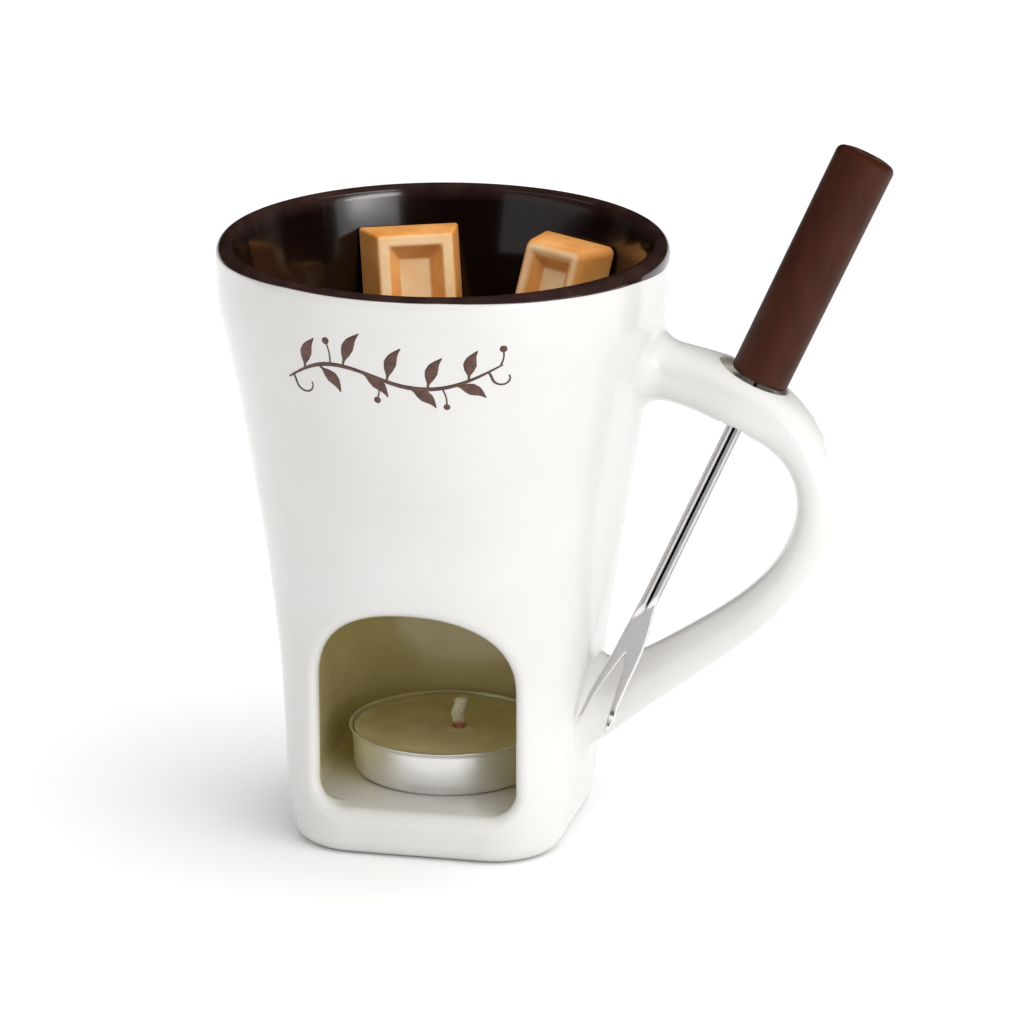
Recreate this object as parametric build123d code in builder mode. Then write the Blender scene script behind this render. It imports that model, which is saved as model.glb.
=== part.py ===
"""Single-serving ceramic fondue mug: a stoneware mug with a bowl above and a candle chamber
below, a tealight, a two-pronged dipping fork parked in its handle, and two chocolate strips.

Millimetres. Origin: centre of the foot. +Z up the mug's axis, -Y out through the chamber's
window, +X towards the handle."""
from build123d import *
import os
from math import cos, radians, sin, sqrt

os.makedirs("parts", exist_ok=True)

# ---------------------------------------------------------------- driving dimensions
# Mug body. Outside stations: (height, half width, roundness), where roundness is the corner
# radius over the half width: a rounded square at the foot turns into a circle at NECK_Z.
NECK_Z = 60.0
NECK_R = 34.5
SIDE_ANGLE = 4.0       # half the arc of the neck that each flat side runs out into
FOOT_STATIONS = (
    (0.0, 25.6, 0.50),
    (12.0, 27.3, 0.54),
    (24.0, 28.4, 0.63),
    (36.0, 30.0, 0.76),
    (48.0, 32.3, 0.92),
)
BOWL_OUTLINE = ((75.0, 36.9), (90.0, 39.5), (98.0, 41.2), (104.0, 42.5))  # (height, radius)
NECK_SLOPE = 0.17      # how fast the radius grows with height at the neck
RIM_Z = 115.7
RIM_R = 43.0
LIP_R = 1.8            # half the wall at the rim, which is a half round
BASE_EDGE_R = 3.0
FOOT_RECESS = 1.0      # the glazed underside is held up on a foot ring
FOOT_RING = 5.0

GLAZE = 0.35           # brown glaze on the bowl's inside and over the lip
BOWL_FLOOR_Z = 62.0
BOWL_CORNER_R = 10.0
BOWL_WALL = 3.9        # ceramic and glaze

CHAMBER_FLOOR_Z = 9.5
CHAMBER_CEILING_Z = 57.0
CHAMBER_WALL = 4.0
CHAMBER_EDGE_R = 4.0

WINDOW_X = 0.3         # the arch is cut a little off centre
WINDOW_HALF_WIDTH = 19.5
WINDOW_SPRING_Z = 34.0
WINDOW_TOP_Z = 50.8
WINDOW_CORNER_R = 5.0
WINDOW_CUT = (10.0, 40.0)    # from how far in front of the axis, and how far it runs

# Handle centre line and sections: (x, z, half thickness, half width)
HANDLE_STATIONS = (
    (34.0, 94.4, 6.6, 7.0),
    (42.0, 93.0, 5.7, 6.6),
    (50.0, 91.2, 5.5, 7.2),
    (58.0, 88.1, 5.5, 8.0),
    (65.0, 84.0, 5.0, 7.4),
    (70.2, 77.9, 4.3, 6.8),
    (72.3, 69.4, 3.7, 6.5),
    (70.4, 60.2, 3.6, 6.4),
    (65.9, 52.6, 3.6, 6.3),
    (58.8, 45.3, 3.9, 6.2),
    (47.6, 37.0, 4.4, 6.2),
    (38.5, 31.0, 5.2, 6.4),
    (29.0, 25.8, 7.2, 7.2),
)

# Fork: its axis leans out through the hole in the handle, and its tips rest by the body
FORK_TIP = Vector(31.35, -14.0, 25.7)
FORK_REST = Vector(60.35, 0.0, 91.1)     # where the axis crosses the handle's top
FORK_HOLE_R = 4.6
HOLE_REACH = 20.0      # how far the hole's cutter runs each way from there
FORK_RECESS_R = 7.0
FORK_RECESS_DEPTH = 2.5
RECESS_NORMAL = Vector(0.44, 0, 0.90)
RECESS_CENTRE = Vector(59.7, 0.1, 92.7) - RECESS_NORMAL * FORK_RECESS_DEPTH
RECESS_CLEARANCE = 9.0
GRIP_GAP = 1.1
GRIP_LENGTH = 47.1
GRIP_R = (5.65, 5.9)                     # at the bottom, at the top
GRIP_EDGE_R = 1.3
TANG_LENGTH = 30.0
SHANK_TOP = (2.7, 1.9)                   # width, thickness
SHANK_FOOT = (3.0, 1.8)
SEAM = (0.35, 0.5)                       # width and depth of the fold's seam
HEAD_THICKNESS = 1.1
HEAD_LENGTH = 26.0                       # the seam starts here
FOLD_LENGTH = 3.0                        # the folded shank starts this far below it
# The flat head, as (across, height above the tip): the right edge down to its barb and point,
# the crotch between the tines, the left point and the left edge back up
HEAD_OUTLINE = (
    (1.1, 28.0), (2.3, 23.0), (2.95, 19.5), (3.3, 15.7), (3.3, 11.4), (3.5, 5.2), (4.15, 3.2),
    (3.6, 2.2), (3.78, 0.9), (3.35, 0.2), (2.95, 1.0), (2.42, 4.5), (1.32, 11.9), (0.36, 15.2),
    (-0.8, 9.7), (-1.38, 6.0), (-1.62, 1.3), (-2.0, -0.6), (-2.45, 0.2), (-2.65, 6.0),
    (-2.0, 14.0), (-1.9, 19.5), (-1.75, 22.5), (-1.1, 28.0),
)

# Tealight
TEALIGHT = Vector(0.2, 2.0, CHAMBER_FLOOR_Z)
CUP_RIM_R = 19.0
CUP_BASE_R = 17.9
CUP_HEIGHT = 9.1
CUP_SHEET = 0.3
CUP_EDGE_R = 1.5
WAX_TOP = 7.4
WICK_X = 2.0
WICK_R = 1.2
WICK_ABOVE = 7.0
SUSTAINER_R = 6.0
SUSTAINER_SHEET = 0.3
COLLAR_R = 1.6
COLLAR_HEIGHT = 3.0

# Chocolate strips: (name, side turned to, towards the window, by this angle from -Y to +X)
STRIP_TURNS = (("chocolate_strip_left", 23.7), ("chocolate_strip_right", -32.0))
STRIP_LEAN = 19.5
STRIP_LENGTH = 49.0
STRIP_BACK = 19.8
STRIP_DRAFT = 2.5      # every side slopes in by this much from back to front
STRIP_THICKNESS = 7.0
STRIP_WEB = 3.0        # what joins two segments at the snap line
STRIP_BORDER = 2.3
PANEL_SLOPE = 2.4
PANEL_DEPTH = 2.2
STRIP_CORNER_REACH = 38.5    # how far its upper corners are from the mug's axis
GAP = 0.35                   # clearance under and behind a loose piece


def rounded_square(half, roundness):
    """Four sides and four corners. With roundness 1 they are eight arcs of one circle."""
    radius = half * roundness
    reach = half - radius
    for turn in range(0, 360, 90):
        if roundness < 1:
            Line(Vector(half, -reach).rotate(Axis.Z, turn), Vector(half, reach).rotate(Axis.Z, turn))
            CenterArc(Vector(reach, reach).rotate(Axis.Z, turn), radius, turn, 90)
        else:
            CenterArc((0, 0), half, turn - SIDE_ANGLE, 2 * SIDE_ANGLE)
            CenterArc((0, 0), half, turn + SIDE_ANGLE, 90 - 2 * SIDE_ANGLE)


def outline_loft(stations):
    """Lofts rounded squares given as (height, half width, roundness)."""
    sections = []
    for z, half, roundness in stations:
        with BuildSketch(Plane.XY.offset(z)) as section:
            with BuildLine():
                rounded_square(half, roundness)
            make_face()
        sections.append(section.sketch)
    loft(sections)


def inside_station(z, wall):
    """The foot's outline at height z, moved in by the wall."""
    outline = FOOT_STATIONS + ((NECK_Z, NECK_R, 1.0),)
    for low, high in zip(outline, outline[1:]):
        if low[0] <= z <= high[0]:
            part = (z - low[0]) / (high[0] - low[0])
            half = low[1] + part * (high[1] - low[1])
            roundness = low[2] + part * (high[2] - low[2])
            return (z, half - wall, roundness)


def bowl_line(grow):
    """The bowl's inner outline from the axis, up the wall and over the lip to the outside.
    grow moves it into the wall: 0 is the glaze's surface, GLAZE the ceramic under it."""
    low_wall = BOWL_FLOOR_Z + BOWL_CORNER_R
    wall = [(r - BOWL_WALL + grow, z) for z, r in BOWL_OUTLINE]
    lip_z = RIM_Z - LIP_R
    lip_x = RIM_R - LIP_R
    start_r = NECK_R + (low_wall - NECK_Z) * NECK_SLOPE - BOWL_WALL + grow
    corner_r = BOWL_CORNER_R + grow
    centre = (start_r - corner_r, BOWL_FLOOR_Z + BOWL_CORNER_R)
    Line((0, BOWL_FLOOR_Z - grow), (centre[0], BOWL_FLOOR_Z - grow))
    CenterArc(centre, corner_r, -90, 90)
    Spline((start_r, low_wall), *wall, (lip_x - LIP_R + grow, lip_z),
           tangents=((0, 1), (0, 1)))
    CenterArc((lip_x, lip_z), LIP_R - grow, 0, 180)


# ---------------------------------------------------------------- mug body
with BuildPart() as foot_block:
    outline_loft(FOOT_STATIONS + ((NECK_Z, NECK_R, 1.0),))
    fillet(foot_block.edges().group_by(Axis.Z)[0], BASE_EDGE_R)

with BuildPart() as bowl_block:
    with BuildSketch(Plane.XZ):
        with BuildLine():
            bowl_line(GLAZE)
            lip_z = RIM_Z - LIP_R
            Line((RIM_R - GLAZE, lip_z), (RIM_R, lip_z))
            Spline((NECK_R, NECK_Z), *[(r, z) for z, r in BOWL_OUTLINE], (RIM_R, lip_z),
                   tangents=((NECK_SLOPE, 1), (0, 1)))
            Polyline((NECK_R, NECK_Z), (0, NECK_Z), (0, BOWL_FLOOR_Z - GLAZE))
        make_face()
    revolve(axis=Axis.Z)

with BuildPart() as chamber:
    heights = (CHAMBER_FLOOR_Z, 24.0, 36.0, 48.0, CHAMBER_CEILING_Z)
    outline_loft([inside_station(z, CHAMBER_WALL) for z in heights])
    fillet(chamber.edges().group_by(Axis.Z)[-1], CHAMBER_EDGE_R)

with BuildPart() as mug_body:
    add(foot_block.part)
    add(bowl_block.part)
    add(chamber.part, mode=Mode.SUBTRACT)
    with BuildSketch(Plane.XZ.offset(WINDOW_CUT[0])):
        with BuildLine():
            left = WINDOW_X - WINDOW_HALF_WIDTH
            right = WINDOW_X + WINDOW_HALF_WIDTH
            inner = WINDOW_HALF_WIDTH - WINDOW_CORNER_R
            sill = CHAMBER_FLOOR_Z
            knee = sill + WINDOW_CORNER_R
            Line((WINDOW_X - inner, sill), (WINDOW_X + inner, sill))
            CenterArc((WINDOW_X + inner, knee), WINDOW_CORNER_R, -90, 90)
            Line((right, knee), (right, WINDOW_SPRING_Z))
            EllipticalCenterArc((WINDOW_X, WINDOW_SPRING_Z), WINDOW_HALF_WIDTH,
                                WINDOW_TOP_Z - WINDOW_SPRING_Z, start_angle=0, arc_size=180)
            Line((left, WINDOW_SPRING_Z), (left, knee))
            CenterArc((WINDOW_X - inner, knee), WINDOW_CORNER_R, 180, 90)
        make_face()
    extrude(amount=WINDOW_CUT[1], mode=Mode.SUBTRACT)
    with BuildSketch(Plane.XY):
        with BuildLine():
            rounded_square(FOOT_STATIONS[0][1] - BASE_EDGE_R - FOOT_RING, FOOT_STATIONS[0][2])
        make_face()
    extrude(amount=FOOT_RECESS, mode=Mode.SUBTRACT)
mug_body.part.label = "mug_body"
export_step(mug_body.part, "parts/mug_body.step")

# ---------------------------------------------------------------- brown glaze
with BuildPart() as interior_glaze:
    with BuildSketch(Plane.XZ):
        with BuildLine():
            bowl_line(0)
            bowl_line(GLAZE)
            Line((RIM_R - GLAZE, RIM_Z - LIP_R), (RIM_R, RIM_Z - LIP_R))
            Line((0, BOWL_FLOOR_Z - GLAZE), (0, BOWL_FLOOR_Z))
        make_face()
    revolve(axis=Axis.Z)
interior_glaze.part.label = "interior_glaze"
export_step(interior_glaze.part, "parts/interior_glaze.step")

# ---------------------------------------------------------------- handle
fork_axis = (FORK_REST - FORK_TIP).normalized()
fork_across = Vector(0, 1, 0).cross(fork_axis).normalized()

with BuildPart() as mug_handle:
    path = Spline(*[(x, 0, z) for x, z, thick, wide in HANDLE_STATIONS])
    for x, z, thick, wide in HANDLE_STATIONS:
        along = path % path.param_at_point((x, 0, z))
        with BuildSketch(Plane(origin=(x, 0, z), x_dir=(0, 1, 0), z_dir=along)):
            Ellipse(wide, thick)
    loft()
    add(foot_block.part, mode=Mode.SUBTRACT)
    with BuildSketch(Plane.XZ):
        with BuildLine():
            Spline((NECK_R, NECK_Z), *[(r, z) for z, r in BOWL_OUTLINE], (RIM_R, lip_z),
                   tangents=((NECK_SLOPE, 1), (0, 1)))
            Polyline((RIM_R, lip_z), (0, lip_z), (0, NECK_Z), (NECK_R, NECK_Z))
        make_face()
    revolve(axis=Axis.Z, mode=Mode.SUBTRACT)
    with BuildSketch(Plane(origin=FORK_REST, x_dir=fork_across, z_dir=fork_axis)) as bore:
        Circle(FORK_HOLE_R)
    extrude(amount=HOLE_REACH, both=True, mode=Mode.SUBTRACT)
    with BuildSketch(Plane(origin=RECESS_CENTRE, x_dir=(0, 1, 0), z_dir=RECESS_NORMAL)):
        Circle(FORK_RECESS_R)
    extrude(amount=RECESS_CLEARANCE, mode=Mode.SUBTRACT)
mug_handle.part.label = "mug_handle"
export_step(mug_handle.part, "parts/mug_handle.step")

# ---------------------------------------------------------------- fork
rest_length = (FORK_REST - FORK_TIP).length
grip_base = rest_length + GRIP_GAP
head_plane = Plane(origin=FORK_TIP, x_dir=fork_across, z_dir=fork_across.cross(fork_axis))

with BuildPart() as fork_prong:
    # Two bent-up flanges meet in a seam: a shank that widens towards the head.
    ends = ((HEAD_LENGTH - FOLD_LENGTH, SHANK_FOOT), (grip_base + TANG_LENGTH, SHANK_TOP))
    for height, (width, thickness) in ends:
        centre = FORK_TIP + fork_axis * height
        with BuildSketch(Plane(origin=centre, x_dir=fork_across, z_dir=fork_axis)):
            RectangleRounded(width, thickness, thickness * 0.3)
    loft()
    with BuildSketch(head_plane.offset(SHANK_TOP[1])):
        with Locations((0, (HEAD_LENGTH + grip_base) / 2)):
            Rectangle(SEAM[0], grip_base - HEAD_LENGTH)
    extrude(amount=-SHANK_TOP[1] / 2 - SEAM[1], mode=Mode.SUBTRACT)
    # The flat head: shoulders, a crotch and two pointed tines, the right one barbed.
    with BuildSketch(head_plane):
        with BuildLine():
            Polyline(*HEAD_OUTLINE, close=True)
        make_face()
    extrude(amount=HEAD_THICKNESS / 2, both=True)
fork_prong.part.label = "fork_prong"
export_step(fork_prong.part, "parts/fork_prong.step")

with BuildPart() as fork_grip:
    with BuildSketch(head_plane) as grip_half:
        with BuildLine():
            top = grip_base + GRIP_LENGTH
            Polyline((0, grip_base), (GRIP_R[0], grip_base), (GRIP_R[1], top), (0, top), close=True)
        make_face()
        fillet(grip_half.vertices().group_by(Axis.X)[-1] + grip_half.vertices().group_by(Axis.X)[-2],
               GRIP_EDGE_R)
    revolve(axis=Axis(FORK_TIP, fork_axis))
    add(fork_prong.part, mode=Mode.SUBTRACT)
fork_grip.part.label = "fork_grip"
export_step(fork_grip.part, "parts/fork_grip.step")

# ---------------------------------------------------------------- tealight
candle_plane = Plane(origin=TEALIGHT, x_dir=(1, 0, 0), z_dir=(0, -1, 0))
candle_axis = Axis(TEALIGHT, (0, 0, 1))
bead_r = (CUP_RIM_R - CUP_BASE_R) * 0.4
wall_top = CUP_HEIGHT - bead_r
wall_r = CUP_RIM_R - bead_r


def cup_section(base_r, base, height):
    """Half of a straight-sided dish with a rounded foot, from the axis outwards."""
    slope = (wall_r - CUP_BASE_R) / wall_top
    edge_r = CUP_EDGE_R - base
    with BuildSketch() as section:
        with BuildLine():
            Polyline((0, base), (base_r + slope * base, base), (base_r + slope * height, height),
                     (0, height), close=True)
        make_face()
        fillet(section.vertices().group_by(Axis.Y)[0].sort_by(Axis.X)[-1], edge_r)
    return section.sketch


def cup_filling(height):
    """What fills the cup up to a height above the cup's underside."""
    return cup_section(CUP_BASE_R - CUP_SHEET, CUP_SHEET, height)


with BuildPart() as tealight_cup:
    with BuildSketch(candle_plane):
        add(cup_section(CUP_BASE_R, 0, wall_top))
        add(cup_filling(wall_top), mode=Mode.SUBTRACT)
        with Locations((wall_r, wall_top)):
            Circle(bead_r)
    revolve(axis=candle_axis)
tealight_cup.part.label = "tealight_cup"
export_step(tealight_cup.part, "parts/tealight_cup.step")

wick_foot = TEALIGHT + Vector(WICK_X, 0, CUP_SHEET)
with BuildPart() as wick_sustainer:
    with BuildSketch(Plane(wick_foot)):
        Circle(SUSTAINER_R)
    extrude(amount=SUSTAINER_SHEET)
    with BuildSketch(Plane(wick_foot).offset(SUSTAINER_SHEET)):
        Circle(COLLAR_R)
        Circle(WICK_R, mode=Mode.SUBTRACT)
    extrude(amount=COLLAR_HEIGHT)
wick_sustainer.part.label = "wick_sustainer"
export_step(wick_sustainer.part, "parts/wick_sustainer.step")

with BuildPart() as tealight_wick:
    start = wick_foot + Vector(0, 0, SUSTAINER_SHEET)
    at_wax = TEALIGHT + Vector(WICK_X, 0, WAX_TOP)
    with BuildLine():
        stem = Line(start, at_wax)
        Spline(at_wax, at_wax + Vector(-0.5, 0.1, 3.6), at_wax + Vector(0.3, -0.1, WICK_ABOVE),
               tangents=(stem % 1, (0.35, 0, 1)))
    with BuildSketch(Plane(start)):
        Circle(WICK_R)
    sweep()
tealight_wick.part.label = "tealight_wick"
export_step(tealight_wick.part, "parts/tealight_wick.step")

with BuildPart() as tealight_wax:
    with BuildSketch(candle_plane):
        add(cup_filling(WAX_TOP))
    revolve(axis=candle_axis)
    add(tealight_wick.part, mode=Mode.SUBTRACT)
    add(wick_sustainer.part, mode=Mode.SUBTRACT)
tealight_wax.part.label = "tealight_wax"
export_step(tealight_wax.part, "parts/tealight_wax.step")

# ---------------------------------------------------------------- chocolate strips
lean = radians(STRIP_LEAN)
segment = STRIP_LENGTH / 2
front_width = STRIP_BACK - 2 * STRIP_DRAFT
front_segment = segment - 2 * STRIP_DRAFT
from_axis = sqrt(STRIP_CORNER_REACH ** 2 - (STRIP_BACK / 2) ** 2)
for name, turned in STRIP_TURNS:
    turn = radians(turned)
    forward = Vector(sin(turn), -cos(turn), 0)
    sideways = Vector(cos(turn), sin(turn), 0)
    facing = forward * cos(lean) + Vector(0, 0, sin(lean))
    upwards = forward * -sin(lean) + Vector(0, 0, cos(lean))
    heel_reach = STRIP_LENGTH * sin(lean) - from_axis
    heel = forward * heel_reach + Vector(0, 0, BOWL_FLOOR_Z + GAP)
    back = Plane(origin=heel, x_dir=sideways, z_dir=facing)
    front = back.offset(STRIP_THICKNESS)
    panel = back.offset(STRIP_THICKNESS - PANEL_DEPTH)
    with BuildPart() as strip:
        for plane, inset in ((back, 0), (front, STRIP_DRAFT)):
            with BuildSketch(plane):
                with Locations((0, segment)):
                    Rectangle(STRIP_BACK - 2 * inset, STRIP_LENGTH - 2 * inset)
        loft()
        # The snap line between the two segments
        with BuildSketch(Plane(origin=heel, x_dir=upwards, z_dir=sideways)):
            with BuildLine():
                Polyline((segment, STRIP_WEB), (segment + STRIP_DRAFT, STRIP_THICKNESS),
                         (segment + STRIP_DRAFT, 2 * STRIP_THICKNESS),
                         (segment - STRIP_DRAFT, 2 * STRIP_THICKNESS),
                         (segment - STRIP_DRAFT, STRIP_THICKNESS), close=True)
            make_face()
        extrude(amount=STRIP_BACK, both=True, mode=Mode.SUBTRACT)
        # A sunken panel in each segment
        for number in range(2):
            for plane, inset in ((front, STRIP_BORDER), (panel, STRIP_BORDER + PANEL_SLOPE)):
                with BuildSketch(plane):
                    with Locations((0, segment * (number + 0.5))):
                        Rectangle(front_width - 2 * inset, front_segment - 2 * inset)
            loft(mode=Mode.SUBTRACT)
    strip.part.label = name
    export_step(strip.part, f"parts/{name}.step")
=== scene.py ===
"""A ceramic fondue mug with a tealight, a dipping fork and two chocolate strips, in a pale studio.

The mug and the strips are implicit solids: a function that is negative inside, rounded where
its parts meet, turned into a quad mesh whose points lie on its surface. The other pieces are
turned or lofted. Lengths are in millimetres until a mesh is made, in the CAD's frame."""
import math

import bpy
import numpy as np
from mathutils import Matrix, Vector


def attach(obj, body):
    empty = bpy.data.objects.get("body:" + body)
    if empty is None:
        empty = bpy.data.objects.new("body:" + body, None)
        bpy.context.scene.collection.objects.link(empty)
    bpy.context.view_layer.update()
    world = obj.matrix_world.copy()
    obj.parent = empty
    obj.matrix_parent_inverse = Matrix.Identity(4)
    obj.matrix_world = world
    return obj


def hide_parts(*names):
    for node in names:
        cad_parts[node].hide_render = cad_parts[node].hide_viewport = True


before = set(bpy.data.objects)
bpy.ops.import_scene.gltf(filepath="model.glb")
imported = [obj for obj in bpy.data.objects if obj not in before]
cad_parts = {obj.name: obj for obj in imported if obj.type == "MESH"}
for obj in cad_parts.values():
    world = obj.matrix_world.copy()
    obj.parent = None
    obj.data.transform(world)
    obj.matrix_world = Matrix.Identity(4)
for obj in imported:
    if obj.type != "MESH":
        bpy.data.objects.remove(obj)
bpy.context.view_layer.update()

MM = 0.001

# ---------------------------------------------------------------- sizes
# Most are the CAD's. The bowl's wall, the window, the chamber's corners, the foot ring, the
# recess in the handle and the wax differ from it a little, to follow the photo.
BODY_Z = (0, 12, 24, 36, 48, 60, 75, 90, 98, 104, 110, 116)
BODY_HALF = (25.6, 27.3, 28.4, 30.0, 32.3, 34.5, 36.9, 39.5, 41.2, 42.4, 42.85, 42.85)
NECK_Z = 62.0
FOOT_ROUNDNESS = 0.5
RIM_Z = 115.7
RIM_R = 42.88
LIP_OUTER_R = 2.1
LIP_INNER_R = 1.0
BASE_EDGE_R = 3.0
GLAZE = 0.35
SKIN = 0.06  # how far the ceramic stays under the brown glaze's face on the lip
PROUD = 0.06  # how far the brown glaze stands out of the rim
BOWL_FLOOR_Z = 62.0
BOWL_CORNER_R = 10.0
BOWL_WALL = 5.2
LIP_WALL = 3.1
FLARE_Z = 103.0  # above this the bowl's wall thins towards the lip
FOOT_RING = 8.0  # from the body's outside in to the recess under the foot
FOOT_RECESS = 1.0
FOOT_RECESS_EDGE_R = 0.6
CHAMBER_FLOOR_Z = 9.5
CHAMBER_CEILING_Z = 57.0
CHAMBER_WALL = 4.0
CHAMBER_FLOOR_R = 1.5
CHAMBER_CEILING_R = 7.0
CHAMBER_EASE = 1.5  # the height over which the window's inner edge turns round
WINDOW_X = 0.25
WINDOW_BACK_Y = -20.0
WINDOW_HALF = 19.1
WINDOW_SPRING_Z = 34.0
WINDOW_TOP_Z = 50.4
WINDOW_CORNER_R = 5.0
WINDOW_EDGE_R = 2.6
WINDOW_INNER_EDGE_R = 2.2
WINDOW_FULLNESS = 2.25  # the power of its arch, 2 for half an ellipse

# (x, z, half thickness, half width) along the handle's centre line
HANDLE = np.array((
    (34.0, 94.4, 6.6, 7.0), (42.0, 93.0, 5.7, 6.6), (50.0, 91.2, 5.5, 7.2),
    (58.0, 88.1, 5.5, 8.0), (65.0, 84.0, 5.0, 7.4), (70.2, 77.9, 4.3, 6.8),
    (72.3, 69.4, 3.7, 6.5), (70.4, 60.2, 3.6, 6.4), (65.9, 52.6, 3.6, 6.3),
    (58.8, 45.3, 3.9, 6.2), (47.6, 37.0, 4.4, 6.2), (38.5, 31.0, 5.2, 6.4),
    (29.0, 25.8, 7.2, 7.2)))
HANDLE_STEPS = 260
HANDLE_START_X = 22  # nothing of the handle is nearer to the mug's axis
HANDLE_FULLNESS = 2.2  # the power of its section, 2 for an ellipse
HOLE_FULLNESS = 0.9  # how much fuller it is round the fork's hole
HOLE_REACH = 10
HANDLE_FILLET = 4.5
HANDLE_BATCH = 20000  # points measured at a time
MUG_STEP = 0.9
OUTSIDE = 9.0  # a distance well outside a cutter

FORK_TIP = np.array((31.35, -14.0, 25.7))
FORK_REST = np.array((60.35, 0.0, 91.1))
FORK_HOLE_R = 4.6
FORK_HOLE_RUN = 25  # how far the hole's cutter runs each way
FORK_HOLE_EDGE_R = 0.7
RECESS_LONG = 7.0  # half its length along the handle
RECESS_WIDE = 5.8  # half its width
RECESS_DEPTH = 2.0
RECESS_CORNER_R = 0.8
RECESS_EDGE_R = 0.7
RECESS_TOP = np.array((59.8, 0.8, 92.6))
RECESS_NORMAL = np.array((0.44, 0.0, 0.90))
RECESS_SPLITS = (11.5, 10.0)  # within these reaches of its middle, the mesh is split in four
GRIP_GAP = 0.8
GRIP_LENGTH = 47.4
GRIP_R = (5.65, 5.9)
GRIP_FOOT_EDGE_R = 1.2
GRIP_TOP_EDGE_R = 1.4
GRIP_CROWN = 0.35  # how far its end's middle stands over its edge

TEALIGHT = np.array((0.2, 2.0, CHAMBER_FLOOR_Z))
CUP_RIM_R = 19.0
CUP_BASE_R = 17.9
CUP_HEIGHT = 9.1
CUP_SHEET = 0.3
CUP_LIFT = 0.35  # how far its bottom is pressed up, inside a low ring
CUP_FOOT_R = 1.5  # the bend from its bottom to its wall
CUP_BEAD_R = 0.24
CUP_PLEATS = 60
WAX_TOP = 7.4
WAX_GAP = 0.02
WICK_X = 2.4
WICK_R = 1.35
WICK_ABOVE = 7.0
WICK_FOOT = 0.7

STRIP_TURNS = (("left", 23.7, 0.5), ("right", -32.0, 1.6))
STRIP_LEAN = math.radians(19.5)
STRIP_LENGTH = 49.0
STRIP_BACK = 19.8
STRIP_DRAFT = 2.5
STRIP_THICKNESS = 7.0
STRIP_WEB = 3.0
STRIP_BORDER = 2.1
PANEL_SLOPE = 2.4
PANEL_DEPTH = 2.4
STRIP_CORNER_REACH = 38.5
STRIP_GAP = 0.35
STRIP_STEP = 0.36


# ---------------------------------------------------------------- curves and solids
RELAX_PASSES = 4


def spline(xs, ys):
    """The natural cubic spline through the points, as a function."""
    xs, ys = np.asarray(xs, float), np.asarray(ys, float)
    step = np.diff(xs)
    slope = np.diff(ys) / step
    matrix = np.eye(len(xs))
    right = np.zeros(len(xs))
    for i in range(1, len(xs) - 1):
        matrix[i, i - 1:i + 2] = step[i - 1], 2 * (step[i - 1] + step[i]), step[i]
        right[i] = 6 * (slope[i] - slope[i - 1])
    bend = np.linalg.solve(matrix, right)

    def value(x):
        i = np.clip(np.searchsorted(xs, x) - 1, 0, len(step) - 1)
        t, u = x - xs[i], xs[i + 1] - x
        h = step[i]
        return ((bend[i] * u ** 3 + bend[i + 1] * t ** 3) / (6 * h)
                + (ys[i] / h - bend[i] * h / 6) * u + (ys[i + 1] / h - bend[i + 1] * h / 6) * t)
    return value


def both(a, b, radius):
    """What is inside both solids, with the edge between them rounded off."""
    corner = np.hypot(np.maximum(a + radius, 0), np.maximum(b + radius, 0))
    return np.minimum(np.maximum(a, b), -radius) + corner


def either(a, b, radius):
    """What is inside either solid, with a fillet between them."""
    return -both(-a, -b, radius)


def without(a, b, radius):
    """The first solid less the second, with the edge between them rounded off."""
    return both(a, -b, radius)


def cells_to_mesh(field, low, step):
    """One point in every cell that the surface crosses, and a quad over every crossed edge."""
    inside = field < 0
    size = np.array(field.shape) - 1
    corners = [(i, j, k) for i in (0, 1) for j in (0, 1) for k in (0, 1)]

    def corner(values, c):
        return values[c[0]:c[0] + size[0], c[1]:c[1] + size[1], c[2]:c[2] + size[2]]

    count = sum(corner(inside, c).astype(np.int8) for c in corners)
    active = (count > 0) & (count < 8)
    cell = np.argwhere(active)
    number = np.full(size, -1)
    number[active] = np.arange(len(cell))
    total = np.zeros((len(cell), 3))
    hits = np.zeros(len(cell))
    for axis in range(3):
        for c in [c for c in corners if c[axis] == 0]:
            start = cell + c
            end = start.copy()
            end[:, axis] += 1
            f0 = field[tuple(start.T)]
            f1 = field[tuple(end.T)]
            crossed = (f0 < 0) != (f1 < 0)
            share = np.where(crossed, f0 / np.where(crossed, f0 - f1, 1), 0)
            point = start.astype(float)
            point[:, axis] += share
            total += point * crossed[:, None]
            hits += crossed
    points = low + step * total / hits[:, None]

    quads = []
    for axis in range(3):
        u, v = (axis + 1) % 3, (axis + 2) % 3
        near = np.take(inside, range(field.shape[axis] - 1), axis)
        far = np.take(inside, range(1, field.shape[axis]), axis)
        edge = np.argwhere(near != far)
        edge = edge[(edge[:, u] > 0) & (edge[:, v] > 0) & (edge[:, u] < size[u]) & (edge[:, v] < size[v])]
        ring = []
        for du, dv in ((1, 1), (0, 1), (0, 0), (1, 0)):
            c = edge.copy()
            c[:, u] -= du
            c[:, v] -= dv
            ring.append(number[tuple(c.T)])
        ring = np.stack(ring, 1)
        leaving = near[tuple(edge.T)]
        quads += [ring[leaving], ring[~leaving][:, ::-1]]
    return points, np.concatenate(quads)


def gradient(solid, p, reach=0.03):
    """The direction in which the solid's function grows, at each point."""
    g = np.empty_like(p)
    for axis in range(3):
        move = np.zeros(3)
        move[axis] = reach
        g[:, axis] = (solid(*(p + move).T) - solid(*(p - move).T)) / (2 * reach)
    return g


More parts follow.
